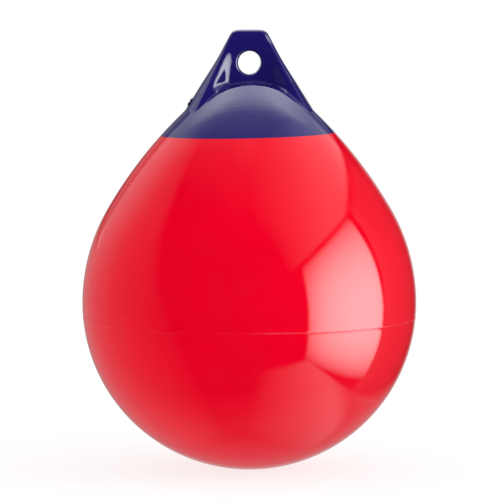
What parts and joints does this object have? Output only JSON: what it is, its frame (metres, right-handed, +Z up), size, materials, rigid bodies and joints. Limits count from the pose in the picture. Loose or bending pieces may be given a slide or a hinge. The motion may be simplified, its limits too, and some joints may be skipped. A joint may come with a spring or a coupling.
{
  "type": "mooring buoy",
  "caption": "Inflated plastic mooring buoy: a hollow ball drawn in to a domed cap whose pocketed lug has a rope eye, with an inflation valve at the lug's foot.",
  "frame": {"origin": "on the buoy's axis at the water's surface, with the empty buoy floating eye up", "axes": "+Z up through the rope eye's lug, X across the lug, Y along the eye's bore"},
  "size_m": [0.5199, 0.52, 0.685],
  "materials": {
    "red_skin": "glossy soft plastic",
    "navy_cap": "glossy soft plastic",
    "valve_nylon": "satin",
    "valve_rubber": "matt"
  },
  "bodies": {
    "root": {"body": "red_skin", "rope_eye": "navy_cap", "valve_seat": "valve_nylon", "valve_washer": "valve_rubber", "valve_screw": "valve_nylon"}
  },
  "joints": []
}
